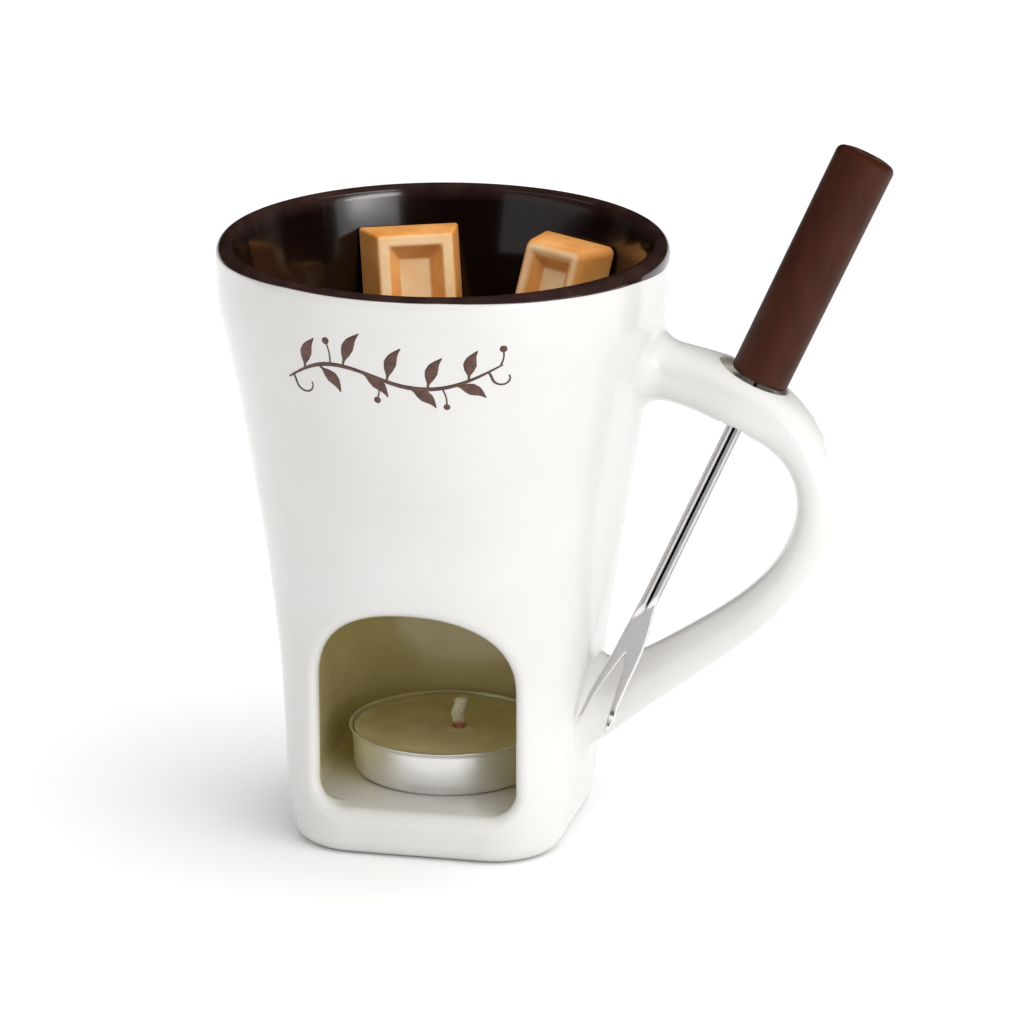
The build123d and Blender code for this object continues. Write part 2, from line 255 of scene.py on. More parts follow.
def solid_mesh(solid, low, high, step):
    """Points and quads on the surface where solid(x, y, z) is 0, with even quads."""
    low = np.array(low, float)
    counts = np.ceil((np.array(high) - low) / step).astype(int) + 1
    x, y, z = (low[i] + step * np.arange(counts[i]) for i in range(3))
    field = solid(x[:, None, None], y[None, :, None], z[None, None, :])
    points, quads = cells_to_mesh(field, low, step)
    tail, head = quads.ravel(), np.roll(quads, -1, 1).ravel()
    degree = np.bincount(tail, minlength=len(points)) + np.bincount(head, minlength=len(points))
    for turn in range(RELAX_PASSES):
        if turn < RELAX_PASSES - 1:
            for axis in range(3):
                near = (np.bincount(tail, points[head, axis], len(points))
                        + np.bincount(head, points[tail, axis], len(points)))
                points[:, axis] = 0.5 * points[:, axis] + 0.5 * near / degree
        for _ in range(2):
            g = gradient(solid, points)
            f = solid(*points.T)
            length = np.maximum((g ** 2).sum(1), 0.05)
            move = np.clip(f / length, -step, step)
            points -= g * move[:, None]
    return points, quads


def split_faces(solid, points, faces, chosen):
    """Splits the chosen quads in four, and moves every new point onto the solid's surface."""
    middles = {}
    added = []

    def middle(a, b):
        key = (min(a, b), max(a, b))
        if key not in middles:
            middles[key] = len(points) + len(added)
            added.append((points[a] + points[b]) / 2)
        return middles[key]

    split = []
    for face in (f for f, wanted in zip(faces, chosen) if wanted):
        edges = [middle(face[i], face[(i + 1) % 4]) for i in range(4)]
        centre = len(points) + len(added)
        added.append(sum(points[i] for i in face) / 4)
        split += [(face[i], edges[i], centre, edges[i - 1]) for i in range(4)]
    for face in (f for f, wanted in zip(faces, chosen) if not wanted):
        ring = []
        for a, b in zip(face, face[1:] + face[:1]):
            ring.append(a)
            key = (min(a, b), max(a, b))
            if key in middles:
                ring.append(middles[key])
        split.append(tuple(ring))
    added = np.array(added)
    for _ in range(3):
        g = gradient(solid, added)
        length = np.maximum((g ** 2).sum(1), 0.05)
        added -= g * np.clip(solid(*added.T) / length, -0.3, 0.3)[:, None]
    return np.concatenate((points, added)), split


def add_mesh(name, points, faces, normals=None, mask=None):
    """A smooth mesh object from points in millimetres. mask is a number for each point's material."""
    mesh = bpy.data.meshes.new(name)
    mesh.from_pydata((np.asarray(points) * MM).tolist(), [],
                     faces.tolist() if isinstance(faces, np.ndarray) else faces)
    mesh.validate()
    mesh.shade_smooth()
    if normals is not None and len(normals) == len(mesh.vertices):
        unit = normals / np.linalg.norm(normals, axis=1)[:, None]
        mesh.normals_split_custom_set_from_vertices(unit.tolist())
    if mask is not None:
        attribute = mesh.attributes.new("mask", "FLOAT", "POINT")
        attribute.data.foreach_set("value", np.asarray(mask, np.float32))
    piece = bpy.data.objects.new(name, mesh)
    bpy.context.scene.collection.objects.link(piece)
    return piece


def tube_faces(start, rows, count):
    """The faces of a closed tube: rows of count points, numbered from start, and its two ends."""
    faces = []
    for i in range(rows - 1):
        for j in range(count):
            a, b = start + i * count, start + (i + 1) * count
            faces.append((a + j, a + (j + 1) % count, b + (j + 1) % count, b + j))
    faces.append(tuple(start + j for j in range(count))[::-1])
    faces.append(tuple(start + (rows - 1) * count + j for j in range(count)))
    return faces


def wrap(turns, count):
    """The quads of a closed outline of count points, turned about an axis."""
    i, j = np.meshgrid(np.arange(turns), np.arange(count), indexing="ij")
    i2, j2 = (i + 1) % turns, (j + 1) % count
    return np.stack((i * count + j, i2 * count + j, i2 * count + j2, i * count + j2), -1).reshape(-1, 4)


def lathe(profile, turns, wobble=None):
    """Points and quads of a closed outline [(radius, height), ...] turned about an axis."""
    profile = np.asarray(profile, float)
    angles = np.linspace(0, 2 * np.pi, turns, endpoint=False)
    rings = np.repeat(profile[None], turns, 0)
    if wobble is not None:
        rings = rings + wobble(angles, profile)
    radius, height = rings[..., 0], rings[..., 1]
    points = np.stack((radius * np.cos(angles)[:, None], radius * np.sin(angles)[:, None], height), -1)
    return points.reshape(-1, 3), wrap(turns, len(profile))


def circle(radius, count, height=0.0):
    """Evenly spaced points of a level circle."""
    angles = [2 * math.pi * k / count for k in range(count)]
    return [(radius * math.cos(a), radius * math.sin(a), height) for a in angles]


def arc(centre, radius, start, end, count):
    """Points on an arc, from one angle to another in degrees."""
    angles = np.radians(np.linspace(start, end, count))
    return [(centre[0] + radius * math.cos(a), centre[1] + radius * math.sin(a)) for a in angles]


def settle(piece, body, slot, *nodes, material):
    """Gives a piece its body and its material, and hides the CAD nodes that it stands for. Its slot is
    not used.
    """
    piece.data.materials.append(material)
    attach(piece, body)
    if nodes:
        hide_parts(*nodes)
    return piece


# ---------------------------------------------------------------- mug
body_half = spline(BODY_Z, BODY_HALF)


def roundness(z):
    """0.5 at the foot, 1, a circle, from the neck up."""
    t = np.clip(z / NECK_Z, 0, 1) ** 1.15
    return FOOT_ROUNDNESS + (1 - FOOT_ROUNDNESS) * t * t * (3 - 2 * t)


def side(x, y, z, wall=0.0):
    """The body's outside without its ends, moved in by a wall."""
    outer = body_half(np.clip(z, 0, RIM_Z))
    half = outer - wall
    corner = half * roundness(z)
    u, v = np.abs(x) - (half - corner), np.abs(y) - (half - corner)
    flat = np.hypot(np.maximum(u, 0), np.maximum(v, 0)) + np.minimum(np.maximum(u, v), 0) - corner
    lean = (body_half(np.clip(z + 0.5, 0, RIM_Z)) - body_half(np.clip(z - 0.5, 0, RIM_Z)))
    return flat / np.sqrt(1 + lean ** 2)


run = np.concatenate(([0], np.cumsum(np.hypot(*np.diff(HANDLE[:, :2], axis=0).T))))
along = np.linspace(0, run[-1], HANDLE_STEPS)
handle_line = np.stack([spline(run, HANDLE[:, i])(along) for i in range(4)], 1)


def handle(x, y, z):
    """A bent bar of nearly elliptical section about the handle's centre line."""
    x, z = np.broadcast_arrays(x, z)
    across = np.full(x.size, 50.0)
    thick = np.full(x.size, 5.0)
    wide = np.full(x.size, 6.0)
    place = np.flatnonzero(x.ravel() > HANDLE_START_X)
    start, step = handle_line[:-1], np.diff(handle_line, axis=0)
    length2 = (step[:, :2] ** 2).sum(1)
    for part in np.array_split(place, max(1, len(place) // HANDLE_BATCH)):
        px, pz = x.ravel()[part], z.ravel()[part]
        coarse = np.hypot(px[:, None] - handle_line[:, 0], pz[:, None] - handle_line[:, 1])
        i = np.clip(coarse.argmin(1), 1, HANDLE_STEPS - 2)
        best = np.full(len(part), np.inf)
        for shift in (-1, 0):
            k = i + shift
            t = ((px - start[k, 0]) * step[k, 0] + (pz - start[k, 1]) * step[k, 1]) / length2[k]
            t = np.clip(t, 0, 1)
            spot = start[k] + step[k] * t[:, None]
            away = np.hypot(px - spot[:, 0], pz - spot[:, 1])
            closer = away < best
            best = np.where(closer, away, best)
            across[part] = np.where(closer, away, across[part])
            thick[part] = np.where(closer, spot[:, 2], thick[part])
            wide[part] = np.where(closer, spot[:, 3], wide[part])
    across, thick, wide = (v.reshape(x.shape) for v in (across, thick, wide))
    from_hole = np.hypot(x - FORK_REST[0], z - FORK_REST[2])
    p = HANDLE_FULLNESS + HOLE_FULLNESS * np.exp(-(from_hole / HOLE_REACH) ** 2)
    scaled = (np.abs(across / thick) ** p + np.abs(y / wide) ** p) ** (1 / p)
    distance = np.hypot(across, y)
    return distance - distance / np.maximum(scaled, 1e-6)


def window(x, y, z):
    """The arched hole in the front, a rounded box below and a full arch above."""
    u = np.abs(x - WINDOW_X)
    box = both(u - WINDOW_HALF, CHAMBER_FLOOR_Z - z, WINDOW_CORNER_R)
    height = np.maximum(z - WINDOW_SPRING_Z, 0)
    rise = WINDOW_TOP_Z - WINDOW_SPRING_Z
    p = WINDOW_FULLNESS
    scaled = ((u / WINDOW_HALF) ** p + (height / rise) ** p) ** (1 / p)
    distance = np.hypot(u, height)
    arch = distance - distance / np.maximum(scaled, 1e-6)
    hole = np.where(z > WINDOW_SPRING_Z, arch, box)
    return np.maximum(hole, y - WINDOW_BACK_Y)


def bowl_half(z):
    """The bowl's inner radius. Its wall thins towards the lip."""
    share = np.clip((z - FLARE_Z) / (RIM_Z - LIP_INNER_R - FLARE_Z), 0, 1)
    return body_half(np.clip(z, 0, RIM_Z)) - BOWL_WALL + (BOWL_WALL - LIP_WALL) * share ** 1.2


def along_axis(x, y, z, origin, axis):
    """Height along an axis through origin, and distance from it."""
    u, v, w = x - origin[0], y - origin[1], z - origin[2]
    height = u * axis[0] + v * axis[1] + w * axis[2]
    return height, np.sqrt(np.maximum(u * u + v * v + w * w - height * height, 1e-9))


fork_axis = (FORK_REST - FORK_TIP) / np.linalg.norm(FORK_REST - FORK_TIP)
recess_axis = RECESS_NORMAL / np.linalg.norm(RECESS_NORMAL)


def recess(x, y, z):
    """The oval recess that the grip's end sits over."""
    u, v, w = x - RECESS_TOP[0], y - RECESS_TOP[1], z - RECESS_TOP[2]
    height = u * recess_axis[0] + w * recess_axis[2]
    u = u * recess_axis[2] - w * recess_axis[0]
    reach = np.hypot(u, v)
    scaled = np.hypot(u / RECESS_LONG, v / RECESS_WIDE)
    return both(reach - reach / np.maximum(scaled, 1e-6), -RECESS_DEPTH - height, RECESS_CORNER_R)


def mug(x, y, z):
    """The whole ceramic: body, handle, bowl, chamber, window, foot ring and the fork's hole."""
    solid = both(side(x, y, z), -z, BASE_EDGE_R)
    solid = both(solid, z - (RIM_Z - SKIN), LIP_OUTER_R)
    solid = either(solid, handle(x, y, z), HANDLE_FILLET)
    bowl = np.hypot(x, y) - (bowl_half(z) + GLAZE)
    bowl = both(bowl, BOWL_FLOOR_Z - GLAZE - z, BOWL_CORNER_R)
    solid = without(solid, bowl, LIP_INNER_R - SKIN)
    chamber = both(side(x, y, z, CHAMBER_WALL), CHAMBER_FLOOR_Z - z, CHAMBER_FLOOR_R)
    chamber = both(chamber, z - CHAMBER_CEILING_Z, CHAMBER_CEILING_R)
    # the window's edge inside is rounded, and sharp at the floor, which is level through it
    inner_edge = WINDOW_INNER_EDGE_R * np.clip((z - CHAMBER_FLOOR_Z) / CHAMBER_EASE, 0.01, 1)
    solid = without(solid, either(chamber, window(x, y, z), inner_edge), WINDOW_EDGE_R)
    underside = np.maximum(side(x, y, z * 0, FOOT_RING), z - FOOT_RECESS)
    solid = without(solid, underside, FOOT_RECESS_EDGE_R)
    solid = without(solid, recess(x, y, z), RECESS_EDGE_R)
    height, away = along_axis(x, y, z, FORK_REST, fork_axis)
    hole = np.where(np.abs(height) < FORK_HOLE_RUN, away - FORK_HOLE_R, OUTSIDE)
    return without(solid, hole, FORK_HOLE_EDGE_R)


def chamber_shade_mask(points, normals):
    """Painted shade: 1 on the chamber's walls and roof and in the recess, where shade falls, less on its
    floor, the more so towards the window where it is lit, and 0 elsewhere.
    """
    x, y, z = points.T
    deep = np.clip((-side(x, y, z) - 0.8) / 4.0, 0, 1)
    deep = deep * deep * (3 - 2 * deep) * (z > 6) * (z < BOWL_FLOOR_Z - 3)
    upward = np.clip(normals[:, 2] / np.linalg.norm(normals, axis=1), 0, 1)
    near_window = np.clip((6 - y) / 20, 0, 1)
    recess_shade = np.clip(-recess(x, y, z) + 0.2, 0, 1) * (x > HANDLE_START_X)
    return np.maximum(deep * (1 - 0.95 * upward * near_window), recess_shade)


def waver(angles, seed, waves=9):
    """A smooth irregular closed wave between about -1 and 1."""
    random = np.random.default_rng(seed)
    total = np.zeros_like(angles)
    for k in range(1, waves + 1):
        total += random.normal() * np.cos((k + 1) * angles + random.uniform(0, 6.3)) / k ** 0.7
    return total / np.abs(total).max()


def make_mug(material):
    points, quads = solid_mesh(mug, (-45, -45, -1.5), (79, 45, 117.5), MUG_STEP)
    faces = [tuple(face) for face in quads.tolist()]
    for reach in RECESS_SPLITS:
        near = np.linalg.norm(points - RECESS_TOP, axis=1) < reach
        chosen = [len(face) == 4 and all(near[i] for i in face) for face in faces]
        points, faces = split_faces(mug, points, faces, chosen)
    normals = gradient(mug, points)
    piece = add_mesh("mug_ceramic", points, faces, normals, chamber_shade_mask(points, normals))
    settle(piece, "mug", "white_glaze", "mug_body", "mug_handle", material=material)


# where the brown glaze ends outside the rim, by direction: it was dipped a little askew
GLAZE_EDGE = ((-180, 113.9), (-150, 114.2), (-120, 115.0), (-77, 115.0), (-50, 114.2), (-22, 113.6),
              (-4, 112.7), (30, 113.2), (90, 114.2), (140, 114.1), (180, 113.9))
LIP_CENTRE_Z = RIM_Z - LIP_OUTER_R


def lip_outside(reach, lift):
    """A point outside the lip, by its distance along the surface from the lip's top."""
    quarter = LIP_OUTER_R * math.pi / 2
    radius = LIP_OUTER_R + lift
    angle = np.maximum(math.pi / 2 - reach / LIP_OUTER_R, 0)
    drop = np.maximum(reach - quarter, 0)
    return (RIM_R - LIP_OUTER_R + radius * np.cos(angle), LIP_CENTRE_Z + radius * np.sin(angle) - drop)


def make_glaze(material):
    """A skin over the bowl and lip, which ends in an uneven soft edge outside the rim."""
    turns, steps = 288, 16
    angles = np.linspace(-math.pi, math.pi, turns, endpoint=False)
    low = np.interp(np.degrees(angles), *np.array(GLAZE_EDGE).T) + 0.10 * waver(angles, 3, 14)
    sine = np.clip((low - LIP_CENTRE_Z) / LIP_OUTER_R, 0, 1)
    reach = LIP_OUTER_R * (math.pi / 2 - np.arcsin(sine)) + np.maximum(LIP_CENTRE_Z - low, 0)

    corner_z = BOWL_FLOOR_Z + BOWL_CORNER_R
    corner = (float(bowl_half(corner_z)) - BOWL_CORNER_R, corner_z)
    top = (RIM_R - LIP_OUTER_R, RIM_Z - LIP_INNER_R)

    def inside(grow):
        """From the bowl's axis to the lip's top. grow moves the line into the wall."""
        line = [(r, BOWL_FLOOR_Z - grow) for r in np.linspace(0.02, corner[0], 20, endpoint=False)]
        line += arc(corner, BOWL_CORNER_R + grow, -90, 0, 24)
        for z in np.linspace(corner[1], top[1], 40)[1:-1]:
            line.append((float(bowl_half(z)) + grow, z))
        wall = top[0] - float(bowl_half(top[1])) - grow
        line += [(top[0] - wall * math.cos(a), top[1] + (LIP_INNER_R - grow) * math.sin(a))
                 for a in np.linspace(0, math.pi / 2, 12)]
        return line

    front, back = inside(0.0), inside(GLAZE - SKIN)[::-1]
    rings = []
    for reached in reach:
        outside = [lip_outside(reached * i / steps, PROUD) for i in range(1, steps + 1)]
        lower = [lip_outside(reached + 0.10, 0.5 * PROUD), lip_outside(reached + 0.12, -0.15)]
        under = [lip_outside(reached * i / steps, -0.3) for i in range(steps - 1, 0, -2)]
        rings.append(front + outside + lower + under + back)
    rings = np.array(rings, float)
    points = np.stack((rings[..., 0] * np.cos(angles)[:, None], rings[..., 0] * np.sin(angles)[:, None],
                       rings[..., 1]), -1)
    thin = np.clip((rings[..., 1] - RIM_Z + 3.0) / 2.0, 0, 1) * (rings[..., 0] > top[0] - 2.0)
    piece = add_mesh("bowl_glaze", points.reshape(-1, 3), wrap(turns, rings.shape[1]), mask=thin.ravel())
    settle(piece, "mug", "brown_glaze", "interior_glaze", material=material)


# ---------------------------------------------------------------- printed sprig
def stroke(points, widths, samples=40):
    """A pen line in the plane, as its centre points, side directions and half widths."""
    points = np.array(points, float)
    chord = np.concatenate(([0], np.cumsum(np.linalg.norm(np.diff(points, axis=0), axis=1))))
    at = np.linspace(0, chord[-1], samples)
    centre = np.stack([spline(chord, points[:, i])(at) for i in range(2)], 1)
    way = np.gradient(centre, axis=0)
    way /= np.linalg.norm(way, axis=1)[:, None]
    half = np.interp(at, np.linspace(0, chord[-1], len(widths)), widths) / 2
    return centre, np.stack((-way[:, 1], way[:, 0]), 1), np.maximum(half, 0.04)


def on_front(flat, lift):
    """Wraps (x, z) round the front of the body, a little proud of it."""
    radius = body_half(flat[..., 1]) + lift
    y = -np.sqrt(radius ** 2 - flat[..., 0] ** 2)
    return np.stack((flat[..., 0], y, flat[..., 1]), -1)


PRINT_SECTION = ((-1.0, -0.05), (-0.75, 0.07), (0.0, 0.09), (0.75, 0.07), (1.0, -0.05))


def make_sprig(material):
    """A leafy sprig: a waving stem, paired leaves, two tendrils and berries on stalks."""
    stem_x, stem_z = (-21, -14, -6, 2, 10, 20), (97.5, 101.4, 101.0, 98.6, 98.6, 102.8)
    stem = spline(stem_x, stem_z)
    strokes = [stroke(tuple(zip(stem_x, stem_z)), (0.4, 0.95, 0.8, 1.0, 0.8, 0.35), 90)]
    leaves = ((-17.5, 68, 7.0), (-14.5, -52, 6.6), (-9.5, 60, 7.6), (-6.0, -46, 7.0), (-1.0, 64, 7.4),
              (3.0, -42, 6.4), (6.5, 62, 7.0), (11.5, -30, 6.0), (14.0, 70, 6.2))
    berries = []

    def on_stem(x, turn):
        """A place on the stem and a direction from it, by its angle in degrees."""
        turn = math.radians(turn)
        return np.array((x, float(stem(x)))), np.array((math.cos(turn), math.sin(turn)))

    for x, turn, length in leaves:
        foot, way = on_stem(x, turn)
        bow = np.array((-way[1], way[0])) * (0.13 * length)
        middle = [foot, foot + way * 0.3 * length + bow * 0.6, foot + way * 0.7 * length + bow,
                  foot + way * length + bow * 0.4]
        strokes.append(stroke(middle, (0.35, 0.6, 2.0, 2.7, 2.2, 1.1, 0.15)))
    for x, size in ((-20.0, 2.2), (17.5, 1.9)):
        foot, _ = on_stem(x, 0)
        curl = [foot]
        for a in np.linspace(0, 1.1 * math.pi, 9):
            reach = size * (1 - a / 8)
            fall = 1.2 + reach * math.sin(a)
            curl.append(foot + np.array((0.5 + size - reach * math.cos(a), -fall)))
        strokes.append(stroke(curl, (0.55, 0.5, 0.4, 0.3)))
    for x, turn, reach, size in ((-12.0, 100, 4.6, 0.85), (-2.6, -95, 4.4, 0.8), (9.2, -80, 3.9, 0.75),
                                 (19.6, 80, 3.4, 0.8)):
        foot, way = on_stem(x, turn)
        tip = foot + way * reach
        strokes.append(stroke([foot, (foot + tip) / 2 + (0.3, 0), tip], (0.4, 0.3, 0.35)))
        berries.append((*tip, size))
    points, faces = [], []
    for centre, beside, half in strokes:
        start = len(points)
        for c, b, h in zip(centre, beside, half):
            for share, lift in PRINT_SECTION:
                points.append(on_front(c + b * h * share, lift))
        faces += tube_faces(start, len(centre), len(PRINT_SECTION))
    for x, z, size in berries:
        start = len(points)
        rings, spokes = 5, 20
        for i in range(rings):
            lift = -0.05 + 0.16 * math.sin(math.pi / 2 * i / (rings - 1))
            for u, v, _ in circle(size * (1 - i / rings), spokes):
                points.append(on_front(np.array((x + u, z + v)), lift))
        faces += tube_faces(start, rings, spokes)
    piece = add_mesh("front_sprig", np.array(points), faces)
    settle(piece, "mug", "brown_glaze", material=material)


# ---------------------------------------------------------------- fork
across_axis = np.cross((0, 1, 0), fork_axis)
across_axis /= np.linalg.norm(across_axis)
FORK_AXES = np.array((across_axis, np.cross(fork_axis, across_axis), fork_axis))
grip_base = np.linalg.norm(FORK_REST - FORK_TIP) + GRIP_GAP

# half-way lines and edges of the two halves of the blade, as (height from the tip, across)
SEAM = ((15.2, 0.36), (20.0, 0.15), (26.0, 0.0), (130.0, 0.0))
LEFT_OUTER = ((-0.6, -2.10), (0.2, -2.45), (6.0, -2.65), (10.0, -2.40), (14.0, -2.02), (19.5, -1.90),
              (23.2, -1.70), (27.5, -1.55), (130.0, -1.50))
LEFT_INNER = ((-0.6, -1.95), (1.3, -1.62), (6.0, -1.38), (9.7, -0.80), (14.0, 0.0), (15.2, 0.36))
RIGHT_OUTER = ((0.2, 3.42), (0.9, 3.78), (3.2, 4.15), (4.4, 3.80), (5.2, 3.52), (11.4, 3.32),
               (15.7, 3.30), (19.4, 3.00), (23.0, 2.28), (26.0, 1.66), (28.0, 1.55), (130.0, 1.50))
RIGHT_INNER = ((0.2, 3.28), (1.0, 2.95), (4.5, 2.42), (8.4, 1.78), (11.9, 1.32), (14.2, 0.72),
               (15.2, 0.36))
BLADE_POINTS = 15  # across one face of a half
PLATE_HALF = 0.5
PLATE_EDGE = 0.3  # over this width it thins to its edge
SHANK_HALF = 0.95
SHANK_FULLNESS = 2.3  # the power of its section, 2 for an ellipse
FOLD_Z = 25.2  # where the rolled halves end, on a slant across the blade
FOLD_SLANT = 1.6
TANG_SHOWN = 3.0  # how far the visual blade runs into the grip


def smoothed(knots, heights):
    """A line through (height, value) knots with its corners eased."""
    z, value = np.array(knots).T
    ease = np.linspace(-0.7, 0.7, 9)
    return np.mean([np.interp(np.clip(heights + e, z[0], z[-1]), z, value) for e in ease], 0)


def blade_half(side_sign, top):
    """One half of the blade as a closed loft: points, quads and its mask of painted shade and grime."""
    outer, inner = (LEFT_OUTER, LEFT_INNER) if side_sign < 0 else (RIGHT_OUTER, RIGHT_INNER)
    foot, crotch = outer[0][0], inner[-1][0]
    z = np.concatenate((foot + np.array((0.0, 0.03, 0.1, 0.2)), np.arange(foot + 0.35, crotch + 15, 0.22),
                        np.linspace(crotch + 15.2, top, 60)))
    far = smoothed(outer, z)
    near = np.where(z < crotch, smoothed(inner + ((crotch + 2, 0.36),), z), smoothed(SEAM, z))
    share = 0.5 - 0.5 * np.cos(np.linspace(0, math.pi, BLADE_POINTS))
    width = np.abs(far - near)[:, None]
    across = near[:, None] + (far - near)[:, None] * share
    from_far = np.clip((1 - share) * width / PLATE_EDGE, 0, 1)
    from_near = np.where((z < crotch + 0.4)[:, None], np.clip(share * width / PLATE_EDGE, 0, 1), 1)
    plate = PLATE_HALF * np.sqrt(1 - (1 - from_far) ** 2) * np.sqrt(1 - (1 - from_near) ** 2)
    point = np.clip((z - foot + 0.02) / 1.6, 0, 1)[:, None] ** 0.6
    plate = plate * point
    if side_sign > 0:
        # the two small crests of the barb
        crest = 0.22 * np.exp(-((z - 3.8) / 0.5) ** 2) + 0.16 * np.exp(-((z - 1.4) / 0.4) ** 2)
        plate = plate * (1 + 2 * crest[:, None])
    p = SHANK_FULLNESS
    rolled = SHANK_HALF * (1 - np.abs(2 * share - 1) ** p)[None] ** (1 / p) * np.ones_like(across)
    opened = np.clip((across * -FOLD_SLANT + z[:, None] - FOLD_Z + 0.8) / 2.6, 0, 1)
    opened = opened * opened * (3 - 2 * opened)
    depth = np.maximum(plate * (1 - opened) + rolled * opened, 0.004)
    height = np.repeat(z[:, None], BLADE_POINTS, 1)
    ring = np.concatenate((np.stack((across, -depth, height), -1),
                           np.stack((across, depth, height), -1)[:, ::-1]), 1)
    # painted shade with some grime: the mask darkens the seam's crease, the flanges' outer edges and, a
    # little, the whole rolled shank, and below the crotch the tines' inner edges
    outer_rim = 0.22 * np.clip(1 - (1 - share) * width / 0.5, 0, 1)
    seam = (np.exp(-((share * width) / 0.30) ** 2) + outer_rim + 0.17) * opened
    seam += 0.25 * np.clip(1 - share * width / 0.5, 0, 1) * (z < crotch)[:, None]
    mask = np.concatenate((seam, seam[:, ::-1]), 1)
    rows, count = ring.shape[:2]
    quads = wrap(rows, count)[:(rows - 1) * count]
    caps = np.array([(j, count - 1 - j, count - 2 - j, j + 1) for j in range(count // 2 - 1)])
    quads = np.concatenate((quads, caps, (rows - 1) * count + caps[:, ::-1]))
    return ring.reshape(-1, 3), quads if side_sign > 0 else quads[:, ::-1], mask.ravel()


def make_fork(steel, lacquer):
    halves = [blade_half(sign, grip_base + TANG_SHOWN) for sign in (-1, 1)]
    points = np.concatenate([h[0] for h in halves])
    quads = np.concatenate((halves[0][1], halves[1][1] + len(halves[0][0])))
    piece = add_mesh("fork_blade", FORK_TIP + points @ FORK_AXES, quads,
                     mask=np.concatenate([h[2] for h in halves]))
    settle(piece, "fork", "fork_steel", "fork_prong", material=steel)
    base, top = grip_base, grip_base + GRIP_LENGTH
    profile = [(0.02, base + 0.25), (2.0, base + 0.22)]
    foot_r, top_r = GRIP_FOOT_EDGE_R, GRIP_TOP_EDGE_R
    straight = GRIP_LENGTH - foot_r - top_r
    profile += arc((GRIP_R[0] - foot_r, base + foot_r), foot_r, -90, 0, 8)
    profile += [(GRIP_R[0] + (GRIP_R[1] - GRIP_R[0]) * t, base + foot_r + t * straight)
                for t in np.linspace(0.02, 0.98, 30)]
    profile += arc((GRIP_R[1] - top_r, top - top_r - GRIP_CROWN), top_r, 0, 78, 9)
    profile += [(r, top - 0.3 * (r / GRIP_R[1]) ** 2 - 0.02) for r in np.linspace(3.9, 1.5, 6)]
    # a dimple where the tang's end was pressed home
    profile += [(1.25, top - 0.14), (1.0, top - 0.42), (0.6, top - 0.55), (0.02, top - 0.58)]
    points, quads = lathe(profile, 72)
    piece = add_mesh("fork_handle", FORK_TIP + points @ FORK_AXES, quads)
    settle(piece, "fork", "fork_grip", "fork_grip", material=lacquer)


